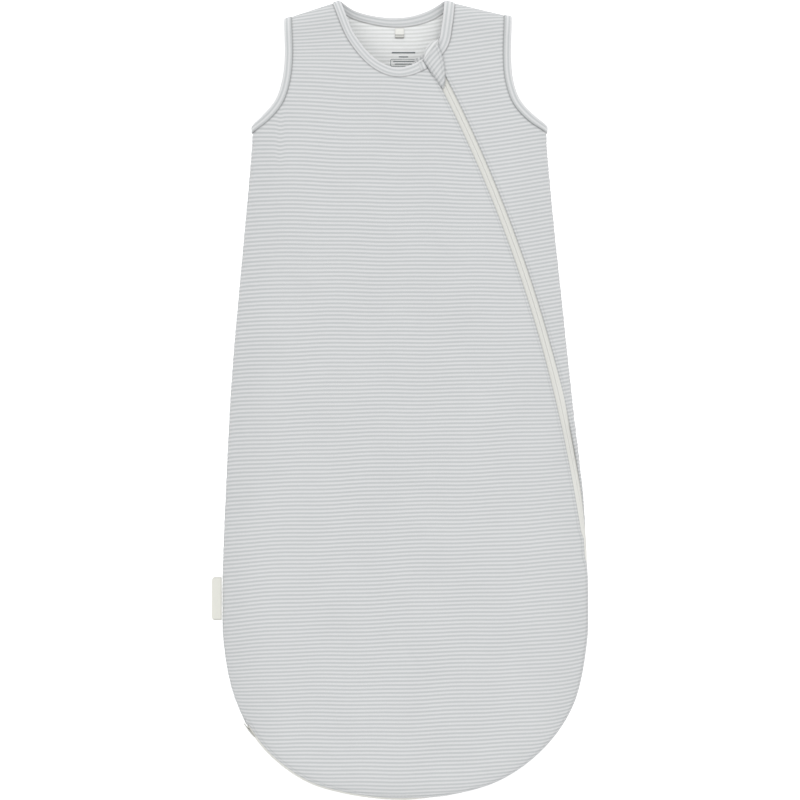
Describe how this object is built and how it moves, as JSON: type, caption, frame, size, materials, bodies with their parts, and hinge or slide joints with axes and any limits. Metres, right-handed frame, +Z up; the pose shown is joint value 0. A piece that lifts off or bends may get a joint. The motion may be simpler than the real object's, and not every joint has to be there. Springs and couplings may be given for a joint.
{
  "type": "baby sleeping bag",
  "caption": "Sleeveless striped jersey baby sleeping bag, laid flat, with a curved zip from the neck to the side and round the hem, a guard flap over the slider and a loop label.",
  "frame": {"origin": "middle of the bag's outline as it lies on its back, on the floor", "axes": "+X towards the side that the zip runs to, +Y towards the neck, +Z up from the floor through the front"},
  "size_m": [0.329, 0.6999, 0.024],
  "materials": {
    "jersey_front": "matte knitted jersey, fine horizontal stripes",
    "jersey_back": "matte knitted jersey, paler wrong side",
    "binding": "matte knitted jersey, stripes along its length",
    "zip_tape": "matte cream woven tape",
    "zip_coil": "satin cream monofilament",
    "zip_metal": "satin cream enamel",
    "label": "matte cream woven ribbon"
  },
  "bodies": {
    "bag": {"back_panel": "jersey_back", "front_main_panel": "jersey_front", "front_side_panel": "jersey_front", "neck_binding": "binding", "left_armhole_binding": "binding", "right_armhole_binding": "binding", "zip_tape_main": "zip_tape", "zip_tape_side": "zip_tape", "zip_coil_main": "zip_coil", "zip_coil_side": "zip_coil", "zip_inner_placket": "jersey_back", "zip_bottom_stop": "zip_metal", "zip_top_stop_main": "zip_metal", "zip_top_stop_side": "zip_metal"},
    "zip_slider": {"zip_slider_body": "zip_metal"},
    "pull_tab": {"zip_pull_tab": "zip_metal"},
    "zip_garage": {"zip_garage_flap": "jersey_front"},
    "side_label": {"side_label": "label"},
    "neck_label": {"neck_label": "label"}
  },
  "joints": [
    {"name": "zip_slider_travel", "type": "hinge", "parent": "bag", "child": "zip_slider", "pos_m": [-1.061, -0.283, 0.0182], "axis": [0, 0, -1], "range_deg": [0, 13.3]},
    {"name": "pull_tab_swing", "type": "hinge", "parent": "zip_slider", "child": "pull_tab", "pos_m": [0.02972, 0.29329, 0.0206], "axis": [-0.8842, -0.4672, 0], "range_deg": [0, 130]},
    {"name": "zip_garage_lift", "type": "hinge", "parent": "bag", "child": "zip_garage", "pos_m": [0.0262, 0.3038, 0.0234], "axis": [-0.6034, -0.7975, 0], "range_deg": [0, 130]},
    {"name": "side_label_flip", "type": "hinge", "parent": "bag", "child": "side_label", "pos_m": [-0.15645, -0.17375, 0.01], "axis": [0, 1, 0], "range_deg": [0, 90]},
    {"name": "neck_label_flip", "type": "hinge", "parent": "bag", "child": "neck_label", "pos_m": [-0.0004, 0.3257, 0.002], "axis": [-1, 0, 0], "range_deg": [0, 120]}
  ],
  "couplings": [
    {"joint": "pull_tab_swing", "follows": "zip_garage_lift", "ratio": 1}
  ]
}
